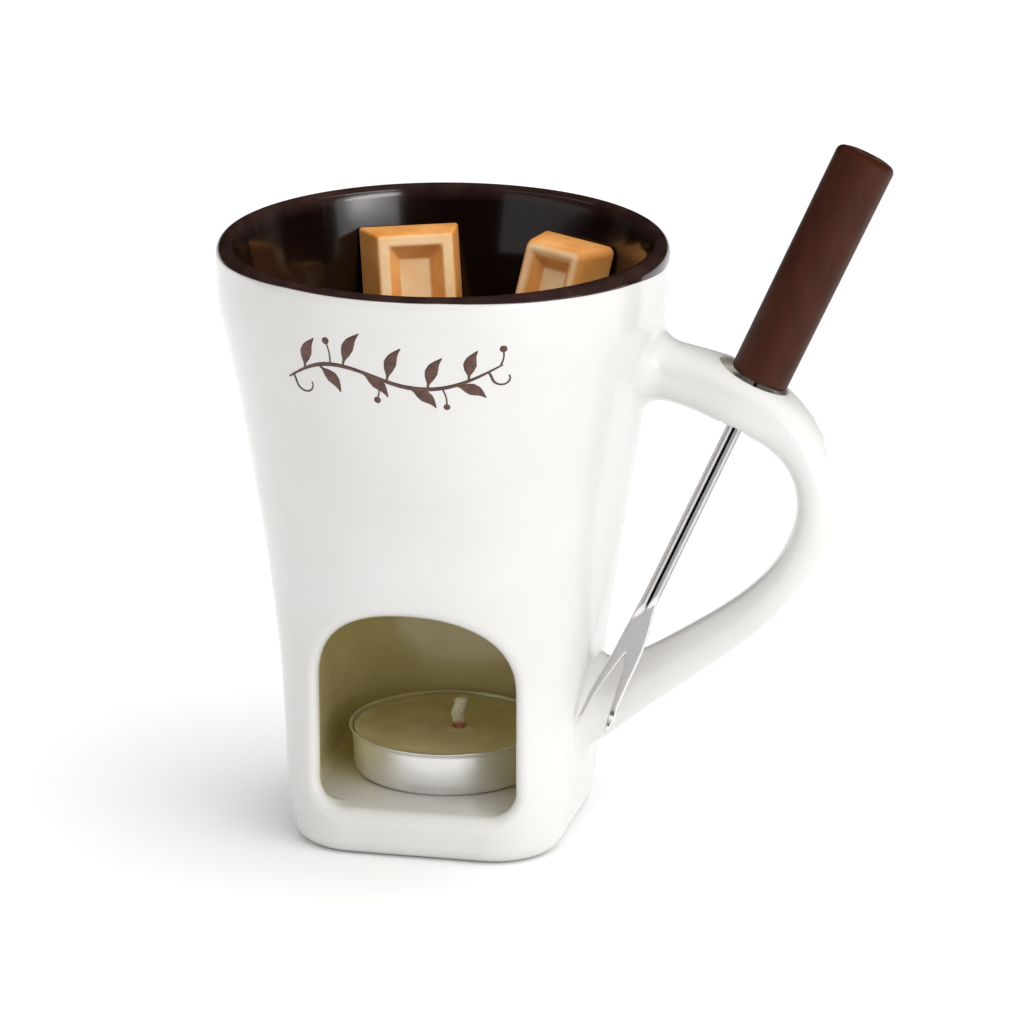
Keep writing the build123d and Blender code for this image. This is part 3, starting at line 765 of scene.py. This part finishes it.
# ---------------------------------------------------------------- tealight
def make_tealight(aluminium, wax, cotton):
    lean = (CUP_RIM_R - 0.45 - CUP_BASE_R) / CUP_HEIGHT
    outside = [(0.02, CUP_LIFT), (14.6, CUP_LIFT), (15.0, 0.05)]
    outside += arc((CUP_BASE_R - CUP_FOOT_R, CUP_FOOT_R), CUP_FOOT_R, -80, 0, 9)
    outside += [(CUP_BASE_R + lean * z, z) for z in np.linspace(2.0, CUP_HEIGHT - 0.9, 14)]
    bead = arc((CUP_RIM_R - CUP_BEAD_R, CUP_HEIGHT - CUP_BEAD_R), CUP_BEAD_R, -75, 190, 14)
    inside = [(r - CUP_SHEET, max(z, CUP_LIFT + CUP_SHEET)) for r, z in outside[::-1] if r > 1]
    profile = outside + bead + inside + [(0.02, CUP_LIFT + CUP_SHEET)]

    def dents(angles, outline):
        """Fine pleats near the foot and a few shallow dents."""
        move = np.zeros((len(angles), len(outline), 2))
        foot = np.exp(-((outline[:, 1] - 1.6) / 1.3) ** 2) * (outline[:, 0] > 16)
        wall = np.exp(-((outline[:, 1] - 4.8) / 2.4) ** 2) * (outline[:, 0] > 16)
        pleats = np.cos(angles * CUP_PLEATS)[:, None] * foot * 0.03
        move[..., 0] = pleats + waver(angles, 8, 14)[:, None] * wall * 0.10
        return move

    points, quads = lathe(profile, 360, dents)
    piece = add_mesh("candle_cup", TEALIGHT + points, quads)
    settle(piece, "tealight", "cup_aluminium", "tealight_cup", material=aluminium)

    rings, spokes = 60, 160
    reach = CUP_BASE_R + lean * WAX_TOP - CUP_SHEET - WAX_GAP
    points, faces = [(0.0, 0.0, 0.0)], []
    for i in range(1, rings + 1):
        points += circle(reach * i / rings, spokes)
    top = np.array(points)
    r = np.hypot(top[:, 0], top[:, 1])
    a = np.arctan2(top[:, 1], top[:, 0])
    to_wick = np.hypot(top[:, 0] - WICK_X, top[:, 1])
    height = WAX_TOP + 0.85 + 0.42 * np.exp((r - reach) / 0.7) - 0.18 * np.exp(-(r / 11.0) ** 2)
    height += 0.45 * np.exp(-((to_wick - 1.7) / 0.75) ** 2) + 0.04 * np.sin(3 * a + 0.5 * r) * (r / reach)
    top[:, 2] = height
    floor_r = CUP_BASE_R - CUP_SHEET - 1.2
    points = np.concatenate((top, circle(floor_r, spokes, CUP_LIFT + CUP_SHEET + WAX_GAP)))
    faces += [(0, 1 + k, 1 + (k + 1) % spokes) for k in range(spokes)]
    for i in range(rings):
        inner = 1 + i * spokes
        for k in range(spokes):
            k2 = (k + 1) % spokes
            faces.append((inner + k, inner + spokes + k, inner + spokes + k2, inner + k2))
    faces.append(tuple(1 + rings * spokes + k for k in range(spokes))[::-1])
    piece = add_mesh("candle_wax", TEALIGHT + points, faces)
    settle(piece, "tealight", "wax", "tealight_wax", material=wax)

    rows, spokes = 90, 36
    foot = np.array((WICK_X, 0.0, WICK_FOOT))
    tall = WAX_TOP + WICK_ABOVE - foot[2]
    points, singed = [], []
    for i in range(rows):
        t = i / (rows - 1)
        z = tall * t
        above = max(0.0, z - (WAX_TOP - foot[2])) / WICK_ABOVE
        centre = foot + (0.5 * math.sin(2.6 * above) * -1 + 0.9 * above ** 3, 0.15 * above, z)
        close = math.sqrt(max(0.0, 1 - max(0.0, (t - 0.955) / 0.045) ** 2)) if t < 1 else 0.05
        for k in range(spokes):
            a = 2 * math.pi * k / spokes
            braid = 0.11 * math.cos(3 * a - 2.1 * z) + 0.08 * math.cos(3 * a + 2.1 * z)
            r = (WICK_R - 0.12 + braid) * close
            points.append(centre + (r * math.cos(a), 0.85 * r * math.sin(a), 0))
            singed.append(min(1.0, max(0.0, 1.35 - abs(z + foot[2] - WAX_TOP - 1.4) / 0.9)))
    piece = add_mesh("candle_wick", TEALIGHT + np.array(points), tube_faces(0, rows, spokes), mask=singed)
    settle(piece, "tealight", "wick", "tealight_wick", material=cotton)


# ---------------------------------------------------------------- chocolate strips
def strip(x, y, z, worn):
    """A moulded strip of two segments with sunken panels. x across, y along, z to the front."""
    slope = STRIP_DRAFT / STRIP_THICKNESS
    tilt = math.hypot(1, slope)

    def drafted(half_x, middle, half_y):
        u = (np.abs(x) - half_x + slope * z) / tilt
        v = (np.abs(y - middle) - half_y + slope * z) / tilt
        return both(u, v, 1.1 * worn)

    half = STRIP_LENGTH / 2
    bar = both(drafted(STRIP_BACK / 2, half, half), z - STRIP_THICKNESS, worn)
    bar = both(bar, -z, 0.6)
    notch = (STRIP_WEB - z) * 0.8 + np.abs(y - half) * 1.3
    bar = without(bar, notch, 0.5)
    front_x = STRIP_BACK / 2 - STRIP_DRAFT - STRIP_BORDER
    front_y = half / 2 - STRIP_DRAFT - STRIP_BORDER
    steep = PANEL_SLOPE / PANEL_DEPTH
    lean = math.hypot(1, steep)
    for middle in (half / 2, 1.5 * half):
        depth = STRIP_THICKNESS - z
        u = (np.abs(x) - front_x + steep * depth) / lean
        v = (np.abs(y - middle) - front_y + steep * depth) / lean
        panel = both(both(u, v, 0.3), STRIP_THICKNESS - PANEL_DEPTH - z, 0.2)
        bar = without(bar, panel, 0.5 * worn)
    return bar


def make_strips(chocolate):
    for name, turned, worn in STRIP_TURNS:
        turn = math.radians(turned)
        forward = np.array((math.sin(turn), -math.cos(turn), 0))
        sideways = np.array((math.cos(turn), math.sin(turn), 0))
        facing = forward * math.cos(STRIP_LEAN) + np.array((0, 0, math.sin(STRIP_LEAN)))
        upwards = forward * -math.sin(STRIP_LEAN) + np.array((0, 0, math.cos(STRIP_LEAN)))
        reach = math.sqrt(STRIP_CORNER_REACH ** 2 - (STRIP_BACK / 2) ** 2)
        heel = forward * (STRIP_LENGTH * math.sin(STRIP_LEAN) - reach)
        heel[2] += BOWL_FLOOR_Z + STRIP_GAP
        axes = np.array((sideways, upwards, facing))

        def shape(x, y, z):
            return strip(x, y, z, worn)

        points, quads = solid_mesh(shape, (-10.5, -0.6, -0.6), (10.5, 49.6, 7.6), STRIP_STEP)
        normals = gradient(shape, points)
        # painted light and shade: flat faces are painted paler than the slopes, as if lit
        lit_flats_mask = np.clip((normals[:, 2] / np.linalg.norm(normals, axis=1) - 0.80) / 0.18, 0, 1)
        piece = add_mesh(f"chocolate_{name}", heel + points @ axes, quads, normals @ axes, lit_flats_mask)
        settle(piece, f"strip_{name}", "caramel_chocolate", f"chocolate_strip_{name}", material=chocolate)


# ---------------------------------------------------------------- materials
def principled(name, **sockets):
    """A material and its node tree's shader, with fixed values on the shader's own sockets."""
    material = bpy.data.materials.new(name)
    material.use_nodes = True
    shader = material.node_tree.nodes["Principled BSDF"]
    for socket, value in sockets.items():
        shader.inputs[socket.replace("_", " ")].default_value = value
    return material, shader


def noise(material, scale, detail=3.0, stretch=(1, 1, 1)):
    """Noise over the object's own coordinates, in cycles per millimetre, as a 0 to 1 value."""
    nodes, links = material.node_tree.nodes, material.node_tree.links
    place = nodes.new("ShaderNodeTexCoord")
    mapping = nodes.new("ShaderNodeMapping")
    mapping.inputs["Scale"].default_value = [scale / MM * s for s in stretch]
    texture = nodes.new("ShaderNodeTexNoise")
    texture.inputs["Scale"].default_value = 1.0
    texture.inputs["Detail"].default_value = detail
    links.new(place.outputs["Object"], mapping.inputs["Vector"])
    links.new(mapping.outputs["Vector"], texture.inputs["Vector"])
    return texture.outputs["Fac"]


def tint(material, shader, value, low, high):
    """Colours the surface by a value, between two colours."""
    ramp = material.node_tree.nodes.new("ShaderNodeValToRGB")
    for element, position, color in zip(ramp.color_ramp.elements, (0.3, 0.7), (low, high)):
        element.position = position
        element.color = (*color, 1)
    material.node_tree.links.new(value, ramp.inputs["Fac"])
    material.node_tree.links.new(ramp.outputs["Color"], shader.inputs["Base Color"])
    return ramp.outputs["Color"]


def mask_of(material):
    """The mesh's mask, as a value."""
    node = material.node_tree.nodes.new("ShaderNodeAttribute")
    node.attribute_name = "mask"
    return node.outputs["Fac"]


def blend_colors(material, shader, value, first, second):
    """Mixes two colour outputs by a value into the base colour."""
    node = material.node_tree.nodes.new("ShaderNodeMix")
    node.data_type = "RGBA"
    links = material.node_tree.links
    links.new(value, node.inputs["Factor"])
    links.new(first, node.inputs[6])
    links.new(second, node.inputs[7])
    links.new(node.outputs[2], shader.inputs["Base Color"])


def vary(material, shader, value, low, high):
    """Moves the roughness between low and high with a value."""
    span = material.node_tree.nodes.new("ShaderNodeMapRange")
    span.inputs["To Min"].default_value = low
    span.inputs["To Max"].default_value = high
    material.node_tree.links.new(value, span.inputs["Value"])
    material.node_tree.links.new(span.outputs["Result"], shader.inputs["Roughness"])


def bump(material, shader, value, height, strength):
    """Raises the surface by a value times a height in millimetres."""
    node = material.node_tree.nodes.new("ShaderNodeBump")
    node.inputs["Strength"].default_value = strength
    node.inputs["Distance"].default_value = height * MM
    material.node_tree.links.new(value, node.inputs["Height"])
    material.node_tree.links.new(node.outputs["Normal"], shader.inputs["Normal"])


def white_glaze():
    material, shader = principled("white_glaze", Coat_Weight=0.35, Coat_Roughness=0.08)
    outside = tint(material, shader, noise(material, 0.035, 4), (0.640, 0.627, 0.602),
                   (0.685, 0.677, 0.663))
    # painted shade: an olive tint, mixed in by the mesh's mask, on the chamber's walls and roof and in
    # the handle's recess, where they lie in shade
    inside = tint(material, shader, noise(material, 0.06, 4), (0.65, 0.555, 0.245), (0.73, 0.65, 0.34))
    blend_colors(material, shader, mask_of(material), outside, inside)
    vary(material, shader, noise(material, 0.12, 3), 0.17, 0.27)
    bump(material, shader, noise(material, 0.10, 2), 0.10, 0.5)
    return material


def brown_glaze():
    material, shader = principled("brown_glaze", Coat_Weight=0.3, Coat_Roughness=0.06)
    deep = tint(material, shader, noise(material, 0.09, 5), (0.0035, 0.0013, 0.0013),
                (0.009, 0.0035, 0.003))
    thin = tint(material, shader, noise(material, 0.2, 5), (0.019, 0.009, 0.008), (0.038, 0.019, 0.016))
    blend_colors(material, shader, mask_of(material), deep, thin)
    vary(material, shader, noise(material, 0.3, 3), 0.11, 0.17)
    bump(material, shader, noise(material, 0.07, 2), 0.10, 0.5)
    return material


def print_brown():
    material, shader = principled("print_brown", Roughness=0.35)
    tint(material, shader, noise(material, 0.8, 4), (0.045, 0.018, 0.012), (0.11, 0.045, 0.028))
    bump(material, shader, noise(material, 2.5, 2), 0.02, 0.6)
    return material


def steel():
    material, shader = principled("fork_steel", Metallic=1.0)
    metal = tint(material, shader, noise(material, 0.5, 4), (0.84, 0.815, 0.81), (0.92, 0.90, 0.895))
    # painted shade with some grime: a near-black colour mixed in by the blade's mask along the seam and
    # edges
    seam_grime_and_shade = tint(material, shader, noise(material, 0.8, 3), (0.035, 0.033, 0.03), (0.08, 0.075, 0.07))
    blend_colors(material, shader, mask_of(material), metal, seam_grime_and_shade)
    grain = noise(material, 1.6, 4, (3.2, 3.2, 0.6))
    vary(material, shader, grain, 0.28, 0.48)
    bump(material, shader, grain, 0.012, 0.5)
    return material


def lacquer():
    material, shader = principled("lacquer", Specular_IOR_Level=0.14)
    grain = noise(material, 0.35, 5, (1, 1, 0.25))
    tint(material, shader, grain, (0.036, 0.0089, 0.0039), (0.052, 0.0134, 0.0053))
    vary(material, shader, noise(material, 0.9, 3), 0.38, 0.52)
    bump(material, shader, noise(material, 2.4, 3, (1, 1, 0.3)), 0.03, 0.5)
    return material


def aluminium():
    material, shader = principled("aluminium", Metallic=1.0)
    tint(material, shader, noise(material, 0.3, 4), (0.89, 0.89, 0.88), (0.96, 0.96, 0.95))
    vary(material, shader, noise(material, 0.5, 4, (1, 1, 0.3)), 0.36, 0.48)
    bump(material, shader, noise(material, 0.22, 2, (1, 1, 0.5)), 0.06, 0.4)
    return material


def wax():
    material, shader = principled("wax", Roughness=0.42, Subsurface_Weight=0.35, Subsurface_Scale=0.004,
                                  Subsurface_Radius=(1.0, 0.7, 0.35))
    tint(material, shader, noise(material, 0.12, 4), (0.54, 0.46, 0.24), (0.66, 0.59, 0.35))
    bump(material, shader, noise(material, 0.25, 3), 0.06, 0.5)
    return material


def cotton():
    material, shader = principled("cotton", Roughness=0.75, Sheen_Weight=0.3)
    clean = tint(material, shader, noise(material, 1.2, 4), (0.66, 0.60, 0.44), (0.80, 0.76, 0.62))
    burnt = tint(material, shader, noise(material, 1.0, 4), (0.30, 0.09, 0.03), (0.50, 0.20, 0.09))
    blend_colors(material, shader, mask_of(material), clean, burnt)
    bump(material, shader, noise(material, 5.0, 3), 0.06, 0.8)
    return material


def tin():
    material, shader = principled("tin", Metallic=1.0)
    tint(material, shader, noise(material, 0.6, 4), (0.62, 0.62, 0.61), (0.70, 0.70, 0.69))
    vary(material, shader, noise(material, 1.0, 3), 0.28, 0.45)
    bump(material, shader, noise(material, 1.5, 3), 0.02, 0.5)
    return material


def chocolate():
    material, shader = principled("caramel_chocolate", Specular_IOR_Level=0.25, Subsurface_Weight=0.1,
                                  Subsurface_Scale=0.003, Subsurface_Radius=(1.0, 0.5, 0.2))
    # painted light and shade: the slopes get a deep, shaded orange and the flat faces a paler, lit
    # colour, by the mesh's mask
    shaded_slopes = tint(material, shader, noise(material, 0.16, 5), (0.71, 0.27, 0.055), (0.88, 0.43, 0.14))
    lit_flats = tint(material, shader, noise(material, 0.20, 5), (0.96, 0.57, 0.26), (1.0, 0.71, 0.42))
    blend_colors(material, shader, mask_of(material), shaded_slopes, lit_flats)
    vary(material, shader, noise(material, 0.5, 3), 0.36, 0.52)
    bump(material, shader, noise(material, 0.45, 4), 0.08, 0.6)
    return material


make_mug(white_glaze())
make_glaze(brown_glaze())
make_sprig(print_brown())
make_fork(steel(), lacquer())
make_tealight(aluminium(), wax(), cotton())
make_strips(chocolate())
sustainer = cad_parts["wick_sustainer"]
sustainer.data.materials.clear()
sustainer.data.materials.append(tin())


# ---------------------------------------------------------------- stage, light and camera
def add_floor(half, material):
    mesh = bpy.data.meshes.new("floor")
    mesh.from_pydata([(-half, -half, 0), (half, -half, 0), (half, half, 0), (-half, half, 0)], [],
                     [(0, 1, 2, 3)])
    plane = bpy.data.objects.new("floor", mesh)
    plane.data.materials.append(material)
    bpy.context.scene.collection.objects.link(plane)


def add_lamp(name, light, location):
    """A lamp that points at the object's centre."""
    lamp = bpy.data.objects.new(name, light)
    lamp.location = location
    lamp.rotation_euler = (Vector(CENTRE) - location).to_track_quat("-Z", "Y").to_euler()
    bpy.context.scene.collection.objects.link(lamp)
    return lamp


def add_softbox(name, shape, location, size, power):
    light = bpy.data.lights.new(name, "AREA")
    light.shape = shape
    light.size, light.size_y = size
    light.energy = power
    add_lamp(name, light, location)


CENTRE = (0.01, 0, 0.06)
add_floor(6.0, principled("floor", Base_Color=(0.93, 0.93, 0.93, 1), Roughness=0.9)[0])

world = bpy.data.worlds.new("studio")
world.use_nodes = True
background = world.node_tree.nodes["Background"]
background.inputs["Color"].default_value = (1.0, 1.0, 1.0, 1)
background.inputs["Strength"].default_value = 0.62
world.cycles_visibility.glossy = False  # so that the dark glaze mirrors only the softboxes
bpy.context.scene.world = world


def toward(azimuth, elevation, distance):
    a, e = math.radians(azimuth), math.radians(elevation)
    way = Vector((math.sin(a) * math.cos(e), -math.cos(a) * math.cos(e), math.sin(e)))
    return Vector(CENTRE) + way * distance


sun = bpy.data.lights.new("soft_sun", "SUN")
sun.energy = 2.35
sun.angle = math.radians(85)
add_lamp("soft_sun", sun, toward(80, 58, 1)).visible_glossy = False
add_softbox("key", "RECTANGLE", toward(61, 12, 1.2), (1.0, 0.40), 1.9)
add_softbox("key_core", "ELLIPSE", toward(53, 7.5, 1.1), (0.66, 0.09), 1.3)
add_softbox("left_panel", "RECTANGLE", toward(-50, 15, 1.3), (1.4, 0.5), 1.0)

bpy.context.scene.view_settings.view_transform = "Standard"
bpy.context.scene.view_settings.look = "None"

AZIMUTH = math.radians(13.211)
ELEVATION = math.radians(17.622)
DISTANCE = 1.401
AIM = Vector((0, 0, 0.0574))
YAW = math.radians(0.533)
PITCH = math.radians(0.163)
SENSOR = 36.0
FOCAL_LENGTHS = 7.1613  # the focal length over the picture's width

back = Vector((math.sin(AZIMUTH) * math.cos(ELEVATION), -math.cos(AZIMUTH) * math.cos(ELEVATION),
               math.sin(ELEVATION)))
right = Vector((math.cos(AZIMUTH), math.sin(AZIMUTH), 0))
up = back.cross(right)
level_look = right * math.sin(YAW) - back * math.cos(YAW)
look = level_look * math.cos(PITCH) + up * math.sin(PITCH)
camera_data = bpy.data.cameras.new("camera")
camera_data.sensor_width = SENSOR
camera_data.lens = SENSOR * FOCAL_LENGTHS
camera = bpy.data.objects.new("camera", camera_data)
camera.location = AIM + back * DISTANCE
camera.rotation_euler = look.to_track_quat("-Z", "Y").to_euler()
bpy.context.scene.collection.objects.link(camera)
bpy.context.scene.camera = camera
